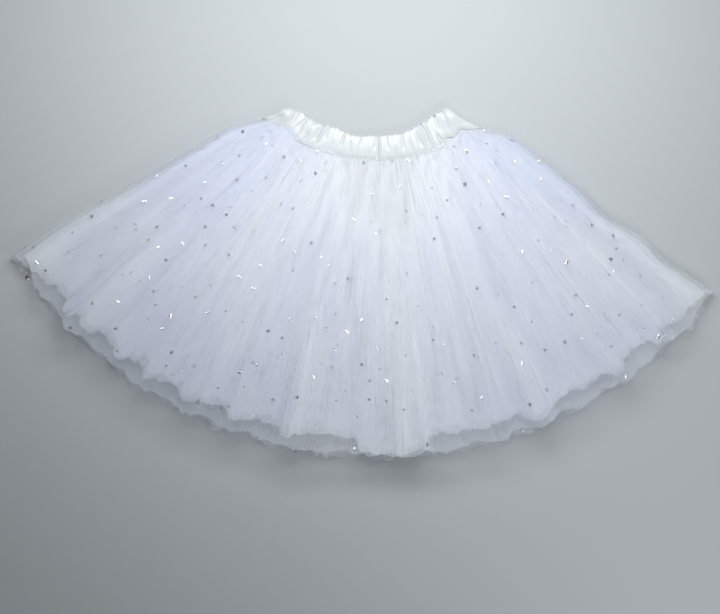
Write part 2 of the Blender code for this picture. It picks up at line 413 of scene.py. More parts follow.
class TutuTulleSettings(bpy.types.PropertyGroup):
    """Sizes and colours of the three layers of tulle"""

    waist_cut: FloatProperty(
        name="Waist cut", description="Width of the flared outer layer at the waist, all round, ungathered",
        default=1.0, unit="LENGTH")
    hem_cut: FloatProperty(
        name="Hem cut", description="Width of the flared outer layer at the hem, all round",
        default=1.62, unit="LENGTH")
    cell: FloatProperty(
        name="Net cell", description="Width of one six-sided hole of the net",
        default=0.0013, unit="LENGTH")
    cover: FloatProperty(
        name="Cover", description="Share of the ungathered outer layer that its threads take",
        default=0.29, min=0.05, max=0.9, subtype="FACTOR")
    under_cover: FloatProperty(
        name="Cover underneath", description="Share of the ungathered lower layers that their threads take",
        default=0.42, min=0.05, max=0.9, subtype="FACTOR")
    light_colour: FloatVectorProperty(
        name="Light colour", description="Colour of the tulle's whiter stretches",
        default=(0.94, 0.953, 0.980), **COLOUR)
    blue_colour: FloatVectorProperty(
        name="Blue colour", description="Colour of the tulle's bluer stretches",
        default=(0.875, 0.90, 0.985), **COLOUR)
    waist_colour: FloatVectorProperty(
        name="Waist colour", description="Colour of the tulle's plainest white, below the waistband",
        default=(0.890, 0.902, 0.908), **COLOUR)


class TutuSequinSettings(bpy.types.PropertyGroup):
    """Sizes and spacing of the star sequins"""

    diameter: FloatProperty(
        name="Star size", description="Width of a star sequin across its points",
        default=0.0050, unit="LENGTH")
    spacing: FloatProperty(
        name="Closest spacing", description="Least distance between two sequins",
        default=0.011, unit="LENGTH")
    outer_density: FloatProperty(
        name="On the outer layer", description="Sequins per square metre of the outer layer",
        default=1800.0)
    middle_density: FloatProperty(
        name="On the middle layer", description="Sequins per square metre of the middle layer",
        default=450.0)
    seed: IntProperty(name="Seed", description="Seed of the sequins' places", default=4)
    colour: FloatVectorProperty(
        name="Colour", description="Colour of the foil",
        default=(0.86, 0.87, 0.90), **COLOUR)


class TutuBandSettings(bpy.types.PropertyGroup):
    """Sizes and colours of the satin waistband and its stitches"""

    ruche: FloatProperty(
        name="Ruche depth", description="Depth of the fine ruches in the satin",
        default=0.0006, unit="LENGTH")
    colour: FloatVectorProperty(
        name="Satin colour", description="Colour of the satin",
        default=(0.735, 0.755, 0.745), **COLOUR)
    stitch: FloatProperty(
        name="Stitch length", description="Length of one gathering stitch",
        default=0.0021, unit="LENGTH")
    stitch_pitch: FloatProperty(
        name="Stitch pitch", description="Distance from one stitch to the next",
        default=0.0031, unit="LENGTH")


class TutuStageSettings(bpy.types.PropertyGroup):
    """The table, the light and the camera"""

    floor_colour: FloatVectorProperty(
        name="Table colour", description="Colour of the smooth table",
        default=(0.53, 0.545, 0.545), **COLOUR)
    view_width: FloatProperty(
        name="View width", description="Width of table that the camera sees",
        default=0.6646, unit="LENGTH")
    camera_height: FloatProperty(
        name="Camera height", description="Height of the camera over the table",
        default=2.6, unit="LENGTH")
    key_power: FloatProperty(
        name="Key light", description="Power of the large soft lamp past the waistband",
        default=3.72, unit="POWER")
    fill_power: FloatProperty(
        name="Fill light", description="Power of the weaker lamp past the hem's right end",
        default=1.75, unit="POWER")
    light_colour: FloatVectorProperty(
        name="Lamp colour", description="Colour of both lamps",
        default=(0.93, 0.965, 1.0), **COLOUR)
    sky: FloatProperty(
        name="Sky", description="Strength of the even light from all round", default=0.155)


# ---------------------------------------------------------------- shape helpers

def mix(a, b, share):
    """A at 0, B at 1, and a straight line through both."""
    return a + (b - a) * share


def smooth(value, low, high):
    """0 up to low, 1 from high, and an even curve between them."""
    share = np.clip((value - low) / (high - low), 0.0, 1.0)
    return share * share * (3 - 2 * share)


def bump(value):
    """A round bump: 1 at 0, and 0 from -1 down and from 1 up."""
    return np.cos(np.clip(value, -1.0, 1.0) * math.pi / 2) ** 2


def curve_through(places, values, at):
    """A smooth curve through values at places, read at other places. It never swings past the values."""
    places, values = np.asarray(places), np.asarray(values)
    rises = np.diff(values) / np.diff(places)
    agree = rises[:-1] * rises[1:] > 0
    middle = np.where(agree, 2 * rises[:-1] * rises[1:] / np.where(agree, rises[:-1] + rises[1:], 1.0), 0.0)
    slopes = np.concatenate([rises[:1], middle, rises[-1:]])
    index = np.clip(np.searchsorted(places, at) - 1, 0, len(places) - 2)
    step = places[index + 1] - places[index]
    t = (at - places[index]) / step
    start = (1 + 2 * t) * (1 - t) ** 2 * values[index] + t * (1 - t) ** 2 * step * slopes[index]
    end = t ** 2 * (3 - 2 * t) * values[index + 1] - t ** 2 * (1 - t) * step * slopes[index + 1]
    return start + end


def read_table(table, at):
    """A smooth curve through a table of (place, value) rows, level past its ends."""
    places, values = zip(*table)
    return curve_through(places, values, np.clip(at, places[0], places[-1]))


def wavy(angle, waves, seed):
    """Uneven waves along an edge, from a table of (wavelength in degrees, height)."""
    rng = np.random.default_rng(seed)
    height = np.zeros(angle.shape)
    for wavelength, share in waves:
        phase, wander = rng.uniform(0, 2 * math.pi, 2)
        height += share * np.sin(2 * math.pi * angle / wavelength + phase
                                 + 1.5 * np.sin(2 * math.pi * angle / (wavelength * 5.3) + wander))
    return height


def in_plan(angle, radius):
    """X and Y of a place on the fan."""
    turn = np.radians(angle)
    return FAN_X + radius * np.sin(turn), FAN_Y - radius * np.cos(turn)


def waist_radius(angle):
    """Where the waistband's lower edge lies: it droops away from the fan's centre towards both sides."""
    return WAIST_RADIUS + WAIST_DROOP * (angle / DROOP_ANGLE) ** 2


def puff_height(angle, radius):
    """How far the waistband's ends puff up."""
    return sum(
        p.height * bump((angle - p.angle) / p.turn) * bump((radius - p.radius) / p.reach) for p in PUFFS)


def widen(waist, hem, down):
    """The angle of a line down the cloth, from its angles at the waist and at the hem."""
    return mix(waist, hem, read_table(SPREAD, down))


def stack_height(down):
    """Height of the whole stack of layers away from the side edges."""
    return mix(WAIST_STACK, HEM_STACK, 1 - (1 - down) ** STACK_RISE)


def link_object(name, mesh):
    obj = bpy.data.objects.new(name, mesh)
    bpy.context.scene.collection.objects.link(obj)
    return obj


def ring_mesh(name, points, cut):
    """A mesh of a grid of points, (rows, columns, 3), whose columns go once round and meet. Its UV map is
    the flat cloth in metres, cut = (width at the first row, width at the last, length)."""
    rows, columns = points.shape[:2]
    row, column = np.meshgrid(np.arange(rows - 1), np.arange(columns), indexing="ij")
    corners = [(row, column), (row + 1, column), (row + 1, column + 1), (row, column + 1)]
    faces = np.stack([(r * columns + c % columns).ravel() for r, c in corners], axis=1)
    mesh = bpy.data.meshes.new(name)
    mesh.from_pydata(points.reshape(-1, 3).tolist(), [], faces.tolist())
    places = []
    for r, c in corners:
        down = r.ravel() / (rows - 1)
        along = (c.ravel() / columns - 0.5) * mix(cut[0], cut[1], down)
        places.append(np.stack([along, down * cut[2]], axis=1))
    uv = mesh.uv_layers.new(name="Cloth")
    uv.data.foreach_set("uv", np.stack(places, axis=1).astype(np.float32).ravel())
    mesh.shade_smooth()
    return mesh


# ---------------------------------------------------------------- folds

def fold_heights(angle, down, folds):
    """How high the main folds lift the cloth."""
    height = np.zeros(angle.shape)
    for fold in folds:
        middle = widen(fold.top, fold.low, down)
        grow = smooth(down, fold.start, min(fold.start + FOLD_START, 1.0))
        height += fold.height * grow * bump((angle - middle) / fold.width)
    return height * FOLD_HEIGHT * down ** FOLD_GROWTH


def small_fold_heights(angle, down, left, right, rng):
    """How high the smaller folds lift the cloth. They fade in and out between the waist and the hem."""
    height = np.zeros(angle.shape)
    width = (right - left) / SMALL_FOLDS
    for index in range(SMALL_FOLDS):
        middle = left + (index + rng.uniform(0.1, 0.9)) * width
        drift = rng.uniform(-0.6, 0.6)
        start, end = rng.uniform(-0.1, 0.35), rng.uniform(0.6, 1.5)
        fade = smooth(down, start, start + 0.3) * (1 - smooth(down, end - 0.35, end))
        spread = rng.uniform(0.55, 1.05) * width
        height += rng.uniform(0.35, 1.0) * fade * bump((angle - middle - drift * down) / spread)
    return height * SMALL_FOLD_HEIGHT


def gather_heights(angle, down, left, right, rng):
    """How high the fine gathers lift the cloth. Each dies out somewhere below the waistband."""
    height = np.zeros(angle.shape)
    width = (right - left) / GATHERS
    for index in range(GATHERS):
        middle = left + (index + rng.uniform(0.25, 0.75)) * width
        length = 0.10 + 0.55 * rng.random() ** 2
        fade = np.clip(1 - down / length, 0.0, 1.0) ** 1.3
        spread = rng.uniform(0.5, 0.9) * width * (1 + 1.2 * down)
        height += rng.uniform(0.5, 1.0) * fade * bump((angle - middle * (1 + 0.08 * down)) / spread)
    return height * GATHER_HEIGHT


def pleat_shift(angle, down, pleats):
    """(degrees, height) by which the pleats move the cloth sideways and up."""
    shift, lift = np.zeros(angle.shape), np.zeros(angle.shape)
    for pleat in pleats:
        middle = widen(pleat.top, pleat.low, down)
        strength = smooth(down, pleat.start, pleat.start + PLEAT_FADE)
        strength = strength * (1 - smooth(down, pleat.end - PLEAT_FADE, pleat.end))
        away = (angle - middle) / pleat.width
        shift -= PLEAT_TURN * pleat.width * strength * away * np.exp(-away ** 2)
        lift += pleat.lean * PLEAT_LIFT * strength * away * np.exp(-away ** 2 / 4)
    return shift, lift


def whiter(angle, down, out):
    """How much whiter and closer the cloth looks, about -1 to 1: the front's stretches, which paint light
    and shade in, soft patches, and the side folds, where it doubles over itself. Out is 1 along a side
    fold."""
    light = WHITE_BASE + wavy(angle + PATCH_LEAN * np.sin(3 * down), PATCH_WAVES, 6)
    # The stretches paint light and shade into the whiteness.
    for s in PAINTED_STRETCHES:
        along = smooth(down, s.start, s.start + 0.2) * (1 - smooth(down, s.end - 0.2, s.end))
        light += s.light * along * bump((angle - widen(s.top, s.low, down)) / s.width)
    light += SIDE_WHITE * out ** 2 * smooth(down, 0.2, 0.6)
    by_waist = bump(angle / WAIST_WHITE_SPAN) * (1 - smooth(down, 0.05, WAIST_WHITE_END))
    return np.clip(light, -1.0, WHITE_TOP) + WAIST_WHITE * by_waist


def tongue_reach(angle):
    """How far the middle and inner layers' tongues reach past their hems. Each has a round end."""
    return sum(
        t.reach * np.sqrt(np.clip(1 - ((angle - t.angle) / t.width) ** 2, 0.0, 1.0)) for t in TONGUES)


def ring_layout():
    """(place, turn, edge) of each column. Place runs along the flat front and back. Turn is the angle
    round the side folds: 0 on the front, and half a turn on the back. Edge is -1 at the left side and 1 at
    the right one."""
    place = np.linspace(0, 1, FACE_COLUMNS, endpoint=False)
    side = np.linspace(0, math.pi, SIDE_COLUMNS, endpoint=False)
    flat, round_side = np.ones(FACE_COLUMNS), np.ones(SIDE_COLUMNS)
    return (
        np.concatenate([place, round_side, 1 - place, 0 * round_side]),
        np.concatenate([0 * flat, side, math.pi * flat, math.pi + side]),
        np.concatenate([0 * flat, round_side, 0 * flat, -round_side]),
    )


def side_surface(tier, angle, down, folds, pleats, rng):
    """(height, sideways shift in degrees) of the folds on one side of a layer. Only the outer layer's main
    folds lie where the tables say."""
    lower = tier.loft < 1
    wander = rng.uniform(-FOLD_WANDER, FOLD_WANDER, len(folds)) * lower
    share = LOWER_FOLDS + (1 - LOWER_FOLDS) * tier.loft
    moved = [f._replace(low=f.low + w, top=f.top + w, height=f.height * share)
             for f, w in zip(folds, wander)]
    wander = rng.uniform(-PLEAT_WANDER, PLEAT_WANDER, len(pleats)) * lower
    moved_pleats = [p._replace(top=p.top + w, low=p.low + w) for p, w in zip(pleats, wander)]
    shift, lift = pleat_shift(angle, down, moved_pleats)
    height = (fold_heights(angle, down, moved)
              + small_fold_heights(angle, down, tier.waist_left, tier.waist_right, rng)
              + gather_heights(angle, down, tier.waist_left, tier.waist_right, rng) + lift)
    return height, shift


def tier_points(tier):
    """The points of one layer of tulle, (rows, columns, 3), from the waist down and once round, and how
    white each looks, painted light and shade included, as whiter gives it."""
    place, turn, edge = ring_layout()
    down = np.linspace(0, 1, TIER_ROWS)[:, None]
    left, right = widen(tier.waist_left, tier.hem_left, down), widen(tier.waist_right, tier.hem_right, down)
    front_share = (1 + np.cos(turn)) / 2
    on_front = np.cos(turn) > 0
    hem = mix(tier.back_hem, tier.front_hem, front_share)
    width = np.radians(right - left) * mix(WAIST_RADIUS, hem, down)
    stack = stack_height(down)
    side_share = read_table(SIDE_HEIGHT, down)
    roll = ROLL_SHARE * mix(INNER_HALF, side_share * stack / 2, tier.loft)
    out = np.abs(np.sin(turn))
    distance = np.where(edge == 0, roll + place * (width - 2 * roll),
                        np.where(edge > 0, width - roll + roll * out, roll - roll * out))
    angle = left + (right - left) * distance / width
    stack = stack * mix(side_share, 1.0, smooth(np.minimum(angle - left, right - angle), 0.0, SIDE_SPAN))
    half = mix(INNER_HALF, stack / 2, tier.loft)

    rng = np.random.default_rng(tier.seed)
    front = side_surface(tier, angle, down, FRONT_FOLDS, FRONT_PLEATS, rng)
    back = side_surface(tier, angle, down, BACK_FOLDS, BACK_PLEATS, rng) if tier.loft > 0 else front
    flatness = np.abs(np.cos(turn)) ** ROLL_FADE
    lens = np.sign(np.cos(turn)) * np.abs(np.cos(turn)) ** ROLL_SHARPNESS
    height = np.where(on_front, front[0], back[0]) * flatness
    shift = np.where(on_front, front[1], back[1]) * flatness

    side_out = np.where(edge < 0, -read_table(LEFT_SIDE, down), read_table(RIGHT_SIDE, down))
    outward = out * np.where(edge == 0, 0.0, side_out)
    lap = front_share * read_table(TULLE_LAP, angle) * (LAP_SHARE + wavy(angle, LAP_WAVES, tier.seed))
    lap = np.maximum(lap, 0.0) * (tier.loft == 1)
    reach = wavy(angle, SCALLOPS, tier.seed) + wavy(angle * 1.07, SCALLOPS, tier.seed + 1) * (~on_front)
    reach += FOLD_REACH * height / FOLD_HEIGHT * on_front
    reach += tongue_reach(angle) * (tier.loft < 1)
    top = waist_radius(angle) + SEAM_GAP - front_share * read_table(SATIN_RISE, angle) - lap
    radius = mix(top, hem + reach, down)
    x, y = in_plan(angle + shift + np.degrees(outward / radius), radius)
    over_satin = (LAP_LIFT * smooth(lap, 0.0, 0.002) + puff_height(angle, top) * front_share) * (
        1 - smooth(down, 0.0, LAP_LENGTH))
    z = np.maximum(stack / 2 + lens * half + height + over_satin, 0.0)
    return np.stack(np.broadcast_arrays(x, y, z), axis=2), whiter(angle, down, out)


def hem_span(tier):
    """Length of a layer's front hem, without its folds."""
    return math.radians(tier.hem_right - tier.hem_left) * tier.front_hem


def cover_of(points, cut, cover, white):
    """Share of the cloth at each point that threads take, more where it is gathered or whiter and less
    where
    it is painted darker: the whiteness carries painted light and shade.
    """
    beside = np.linalg.norm(np.roll(points, -1, axis=1) - np.roll(points, 1, axis=1), axis=2) / 2
    flat = np.linspace(*cut, points.shape[0])[:, None] / points.shape[1]
    gathered = np.clip(flat / np.maximum(beside, 1e-5), 1.0, 6.0)
    kernel = np.ones(2 * COVER_REACH + 1) / (2 * COVER_REACH + 1)
    padded = np.concatenate([gathered[:, -COVER_REACH:], gathered, gathered[:, :COVER_REACH]], axis=1)
    gathered = np.apply_along_axis(lambda row: np.convolve(row, kernel, "valid"), 1, padded)
    return 1 - (1 - cover) ** (gathered * mix(BLUE_CLOSENESS, WHITE_CLOSENESS, white))


# ---------------------------------------------------------------- node helpers

def add_node(tree, kind, inputs=None, **settings):
    """Adds a node, sets it up, and fills its inputs with values or with other nodes' outputs."""
    made = tree.nodes.new(kind)
    for name, value in settings.items():
        setattr(made, name, value)
    for key, value in (inputs or {}).items():
        if isinstance(value, bpy.types.NodeSocket):
            tree.links.new(value, made.inputs[key])
        else:
            made.inputs[key].default_value = value
    return made


def math_node(tree, operation, *values):
    """The result of a Math node."""
    return add_node(tree, "ShaderNodeMath", dict(enumerate(values)), operation=operation).outputs[0]


def vector_node(tree, operation, *values):
    """The outputs of a Vector Math node, named Vector and Value."""
    return add_node(tree, "ShaderNodeVectorMath", dict(enumerate(values)), operation=operation).outputs


def scaled(tree, vector, scale):
    """A vector times a number."""
    return add_node(tree, "ShaderNodeVectorMath", {0: vector, "Scale": scale}, operation="SCALE").outputs[0]


def new_group(name, kind, inputs, outputs):
    """(tree, its inputs, its output node) of a new node group. Its sockets are (name, type, value)."""
    tree = bpy.data.node_groups.new(name, kind)
    for socket, socket_type, value in inputs:
        made = tree.interface.new_socket(name=socket, in_out="INPUT", socket_type=socket_type)
        if value is not None:
            made.default_value = value
    for socket, socket_type in outputs:
        tree.interface.new_socket(name=socket, in_out="OUTPUT", socket_type=socket_type)
    return tree, tree.nodes.new("NodeGroupInput").outputs, tree.nodes.new("NodeGroupOutput")


def use_group(tree, group, inputs):
    """The outputs of a shader node group that is placed in a material with these inputs."""
    return add_node(tree, "ShaderNodeGroup", inputs, node_tree=group).outputs


def new_material(name, **inputs):
    """(material, its node tree, its Principled shader), with the shader's inputs set."""
    material = bpy.data.materials.new(name)
    material.use_nodes = True
    shader = material.node_tree.nodes["Principled BSDF"]
    for key, value in inputs.items():
        shader.inputs[key.replace("_", " ")].default_value = value
    return material, material.node_tree, shader


# ---------------------------------------------------------------- materials

def net_group():
    """Tulle's net of six-sided holes. Cover is the share that the threads take."""
    tree, given, end = new_group(
        "Tulle net", "ShaderNodeTree",
        [("Vector", "NodeSocketVector", None), ("Cell", "NodeSocketFloat", 0.0013),
         ("Cover", "NodeSocketFloat", 0.3)],
        [("Threads", "NodeSocketFloat")])
    across, along = 0.5, math.sqrt(3) / 2
    half = (across, along, 1.0)
    place = scaled(tree, given["Vector"], math_node(tree, "DIVIDE", 1.0, given["Cell"]))
    moved = vector_node(tree, "ADD", place, (across, along, 0.0))["Vector"]
    centres = [vector_node(tree, "WRAP", spot, half, [-h for h in half])["Vector"]
               for spot in (place, moved)]
    lengths = [vector_node(tree, "LENGTH", centre)["Value"] for centre in centres]
    nearer = math_node(tree, "LESS_THAN", *lengths)
    # A Mix node has an A and a B for each data type: its vector ones are its sockets 4 and 5.
    nearest = add_node(tree, "ShaderNodeMix", {0: nearer, 4: centres[1], 5: centres[0]}, data_type="VECTOR")
    folded = vector_node(tree, "ABSOLUTE", nearest.outputs[1])["Vector"]
    slanted = vector_node(tree, "DOT_PRODUCT", folded, (across, along, 0.0))["Value"]
    upright = add_node(tree, "ShaderNodeSeparateXYZ", {0: folded}).outputs["X"]
    from_centre = math_node(tree, "MAXIMUM", slanted, upright)
    open_share = math_node(tree, "SUBTRACT", 1.0, given["Cover"])
    hole = math_node(tree, "MULTIPLY", math_node(tree, "SQRT", open_share), 0.5)
    threads = add_node(tree, "ShaderNodeMapRange", {
        "Value": from_centre,
        "From Min": math_node(tree, "SUBTRACT", hole, NET_SOFTNESS),
        "From Max": math_node(tree, "ADD", hole, NET_SOFTNESS),
    })
    tree.links.new(threads.outputs["Result"], end.inputs["Threads"])
    return tree


def uneven_group():
    """Fine noise, and a colour that goes from one to another as the noise goes from Low to High. The group
    is made once."""
    name = "Uneven finish"
    if name in bpy.data.node_groups:
        return bpy.data.node_groups[name]
    tree, given, end = new_group(
        name, "ShaderNodeTree",
        [("Vector", "NodeSocketVector", None), ("Scale", "NodeSocketFloat", 900.0),
         ("Detail", "NodeSocketFloat", 2.0), ("Low", "NodeSocketFloat", 0.0),
         ("High", "NodeSocketFloat", 1.0), ("Low colour", "NodeSocketColor", (0.8, 0.8, 0.8, 1.0)),
         ("High colour", "NodeSocketColor", (0.9, 0.9, 0.9, 1.0))],
        [("Colour", "NodeSocketColor"), ("Noise", "NodeSocketFloat")])
    noise = add_node(tree, "ShaderNodeTexNoise", {
        "Vector": given["Vector"], "Scale": given["Scale"], "Detail": given["Detail"]}).outputs["Fac"]
    share = add_node(tree, "ShaderNodeMapRange", {
        "Value": noise, "From Min": given["Low"], "From Max": given["High"]}).outputs["Result"]
    # The Mix node's colours are its sockets 6 and 7, and its output 2.
    colour = add_node(tree, "ShaderNodeMix", {
        0: share, 6: given["Low colour"], 7: given["High colour"]}, data_type="RGBA")
    tree.links.new(colour.outputs[2], end.inputs["Colour"])
    tree.links.new(noise, end.inputs["Noise"])
    return tree


def opaque(colour, share=1.0):
    """A colour with its alpha, made lighter or darker by a share."""
    return (*(share * part for part in colour), 1.0)


def uneven_colour(tree, shader, low_colour, high_colour, vector=None, **inputs):
    """Colours a shader unevenly, by its piece's own coordinates unless a vector is given. Returns the
    noise."""
    vector = vector or add_node(tree, "ShaderNodeTexCoord").outputs["Object"]
    finish = use_group(tree, uneven_group(), {
        "Vector": vector, "Low colour": low_colour, "High colour": high_colour, **inputs})
    tree.links.new(finish["Colour"], shader.inputs["Base Color"])
    return finish["Noise"]


def uneven_roughness(tree, shader, noise, low, high):
    """Lets a shader's roughness go from low to high with the noise."""
    rough = add_node(tree, "ShaderNodeMapRange", {"Value": noise, "To Min": low, "To Max": high})
    tree.links.new(rough.outputs["Result"], shader.inputs["Roughness"])


def tulle_material(name, settings, net):
    """White net, a little bluer in stretches and painted lighter or darker by the white attribute, which
    holds painted light and shade; its threads close up where the cloth is gathered.
    """
    material, tree, shader = new_material(name, Roughness=0.62, Sheen_Weight=0.25, Sheen_Roughness=0.5,
                                          Specular_IOR_Level=0.25)
    cloth = add_node(tree, "ShaderNodeUVMap", uv_map="Cloth").outputs["UV"]
    cover = add_node(tree, "ShaderNodeAttribute", attribute_name="cover").outputs["Fac"]
    threads = use_group(tree, net, {"Vector": cloth, "Cell": settings.cell, "Cover": cover})["Threads"]
    tree.links.new(threads, shader.inputs["Alpha"])
    # The white attribute holds painted light and shade as well as the cloth's whiteness.
    white = add_node(tree, "ShaderNodeAttribute", attribute_name="white").outputs["Fac"]
    tint = add_node(tree, "ShaderNodeValToRGB", {"Fac": white})
    low, high = tint.color_ramp.elements
    low.color = opaque(settings.blue_colour)
    high.color = opaque(settings.waist_colour)
    tint.color_ramp.elements.new(WHITE_TOP).color = opaque(settings.light_colour)
    tree.links.new(tint.outputs["Color"], shader.inputs["Base Color"])
    return material


def satin_material(settings):
    """Smooth white satin: fine crosswise threads, soft shine and a little unevenness."""
    material, tree, shader = new_material("Satin", Roughness=0.34, Sheen_Weight=0.35, Sheen_Roughness=0.4,
                                          Specular_IOR_Level=0.55, Anisotropic=0.4)
    cloth = add_node(tree, "ShaderNodeUVMap", uv_map="Cloth").outputs["UV"]
    threads = add_node(tree, "ShaderNodeMapping", {"Vector": cloth, "Scale": SATIN_THREADS})
    noise = uneven_colour(tree, shader, opaque(settings.colour, 0.93), opaque(settings.colour),
                          vector=threads.outputs[0], Scale=1.0, Low=0.25, High=0.75)
    uneven_roughness(tree, shader, noise, 0.28, 0.42)
    relief = add_node(tree, "ShaderNodeBump", {"Strength": 0.25, "Distance": 0.0001, "Height": noise})
    tree.links.new(relief.outputs["Normal"], shader.inputs["Normal"])
    return material


def foil_material(settings):
    """Silver foil, dulled and scuffed unevenly."""
    material, tree, shader = new_material("Silver foil", Metallic=1.0, Roughness=0.2)
    noise = uneven_colour(tree, shader, opaque(settings.colour, 0.8), opaque(settings.colour), Scale=900.0)
    uneven_roughness(tree, shader, noise, 0.18, 0.42)
    return material


def thread_material():
    """White sewing thread, a little uneven in colour."""
    material, tree, shader = new_material("Sewing thread", Roughness=0.55, Sheen_Weight=0.3)
    uneven_colour(tree, shader, THREAD_DARK, THREAD_LIGHT, Scale=2500.0)
    return material


def table_material(settings):
    """A smooth grey table, a little cloudy."""
    material, tree, shader = new_material("Table", Roughness=0.55)
    uneven_colour(tree, shader, opaque(settings.floor_colour, 0.97), opaque(settings.floor_colour, 1.03),
                  Scale=2.0, Detail=3.0)
    return material


# ---------------------------------------------------------------- the waistband

def band_line(sections, across, name):
    """One measure of the waistband's face, across it."""
    return curve_through([s.across for s in sections], [getattr(s, name) for s in sections], across)


def fine_ruches(place, high):
    """Depth of the fine ruches, 0 to about 1. Each has its own length between the two edges."""
    rng = np.random.default_rng(5)
    depth = np.zeros(np.broadcast(place, high).shape)
    for index in range(FINE_RUCHES):
        middle = (index + rng.uniform(0.2, 0.8)) / FINE_RUCHES * 2 - 1
        width = rng.uniform(0.6, 1.5) / FINE_RUCHES * 2
        slant = rng.uniform(-1.0, 1.0) / FINE_RUCHES * 2
        start, end = rng.uniform(-0.3, 0.45), rng.uniform(0.6, 1.3)
        along = smooth(high, start, start + 0.3) * (1 - smooth(high, end - 0.3, end))
        depth += rng.uniform(0.3, 1.0) * along * bump((place - middle - slant * high) / width)
    return depth


def crease_depth(angle, high):
    """Depth of the large creases across the front."""
    depth = np.zeros(angle.shape)
    for c in BAND_CREASES:
        along = smooth(high, c.start - 0.1, c.start + 0.12) * (1 - smooth(high, c.end - 0.12, c.end + 0.1))
        depth += c.depth * along * bump((angle - c.angle - c.slant * (high - 0.5)) / c.width)
    return depth


def band_points(settings):
    """The casing's points, (rows, columns, 3): round its section from its seam, then round the waist."""
    side = np.linspace(0, math.pi, BAND_SIDE_COLUMNS, endpoint=False)
    flat = np.linspace(0, 1, BAND_COLUMNS // 2, endpoint=False)
    width = math.radians(BAND_FRONT[-1].low_angle - BAND_FRONT[0].low_angle) * WAIST_RADIUS
    roll = BAND_ROLL / width
    across = np.concatenate([
        roll + flat * (1 - 2 * roll), 1 - roll + roll * np.sin(side),
        1 - roll - flat * (1 - 2 * roll), roll - roll * np.sin(side)])
    lift = np.concatenate([0 * flat + 1, np.cos(side), 0 * flat - 1, -np.cos(side)])
    share = (1 + lift) / 2
    top_angle, top_radius, low_angle = (
        mix(band_line(BAND_BACK, across, name), band_line(BAND_FRONT, across, name), share)
        for name in ("top_angle", "top_radius", "low_angle"))
    low_radius = waist_radius(low_angle) - share * read_table(SATIN_RISE, low_angle)

    # Round the casing's section: from the seam at its lower edge, up its outer face and down its inner one.
    turn = np.linspace(BAND_SEAM, 1 - BAND_SEAM, BAND_ROWS)[:, None] * 2 * math.pi
    high = 0.5 - 0.5 * np.cos(turn)
    across_wall = np.sign(np.sin(turn)) * np.abs(np.sin(turn)) ** BAND_SQUARENESS
    outer = across_wall > 0
    angle = mix(low_angle, top_angle, high)
    radius = mix(low_radius, top_radius, high)
    ruched = 1 - FLAP_SMOOTHNESS * smooth(angle, FLAP_START, FLAP_END) * (lift > 0)
    fine = settings.ruche * fine_ruches(across * np.where(lift > 0, 1, -1), high) * ruched
    crease = crease_depth(angle, high) * np.clip(lift, 0.0, 1.0)
    wall = BAND_CASING / 2
    seam = mix(SEAM_THICKNESS, 1.0, smooth(high, 0.0, SEAM_REACH))
    edge = smooth(high, EDGE_START, 1.0)
    z_wall = BAND_STACK / 2 + lift * (BAND_STACK / 2 - wall) + puff_height(angle, radius) * share
    relief = (fine - crease * (1 - 0.5 * edge)) * outer
    z = z_wall + lift * (across_wall * wall * seam + relief - fine * 0.5)
    frill = wavy(angle, EDGE_FRILL, 8) * read_table(FRILL_STRENGTH, angle)
    radius = radius - edge * (fine * EDGE_RUCHES - crease * EDGE_CREASES + frill)
    x, y = in_plan(angle, radius)
    return np.stack(np.broadcast_arrays(x, y, np.maximum(z, 0.0)), axis=2)


def make_waistband(settings):
    """The casing as an object, and its points."""
    points = band_points(settings)
    mesh = ring_mesh("satin_waistband", points, (SATIN_LENGTH, SATIN_LENGTH, SATIN_WIDTH))
    mesh.materials.append(satin_material(settings))
    return link_object("satin_waistband", mesh), points


# ---------------------------------------------------------------- what repeats

def star_mesh(diameter):
    """A five-pointed star of foil, a little raised in the middle."""
    reach = (diameter / 2, diameter / 2 * STAR_WAIST)
    points = [(reach[i % 2] * math.sin(math.pi * i / 5), reach[i % 2] * math.cos(math.pi * i / 5), 0.0)
              for i in range(10)]
    points += [(0, 0, diameter * STAR_RISE), (0, 0, -diameter * STAR_THICKNESS)]
    faces = []
    for i in range(10):
        j = (i + 1) % 10
        faces += [(j, i, 10), (i, j, 11)]
    mesh = bpy.data.meshes.new("star")
    mesh.from_pydata(points, [], faces)
    return mesh


def end_with(tree, end, instances, material):
    """Ends a tree: makes its instances real and gives them their material."""
    real = add_node(tree, "GeometryNodeRealizeInstances", {0: instances.outputs[0]})
    painted = add_node(tree, "GeometryNodeSetMaterial", {"Geometry": real.outputs[0], "Material": material})
    tree.links.new(painted.outputs[0], end.inputs["Geometry"])


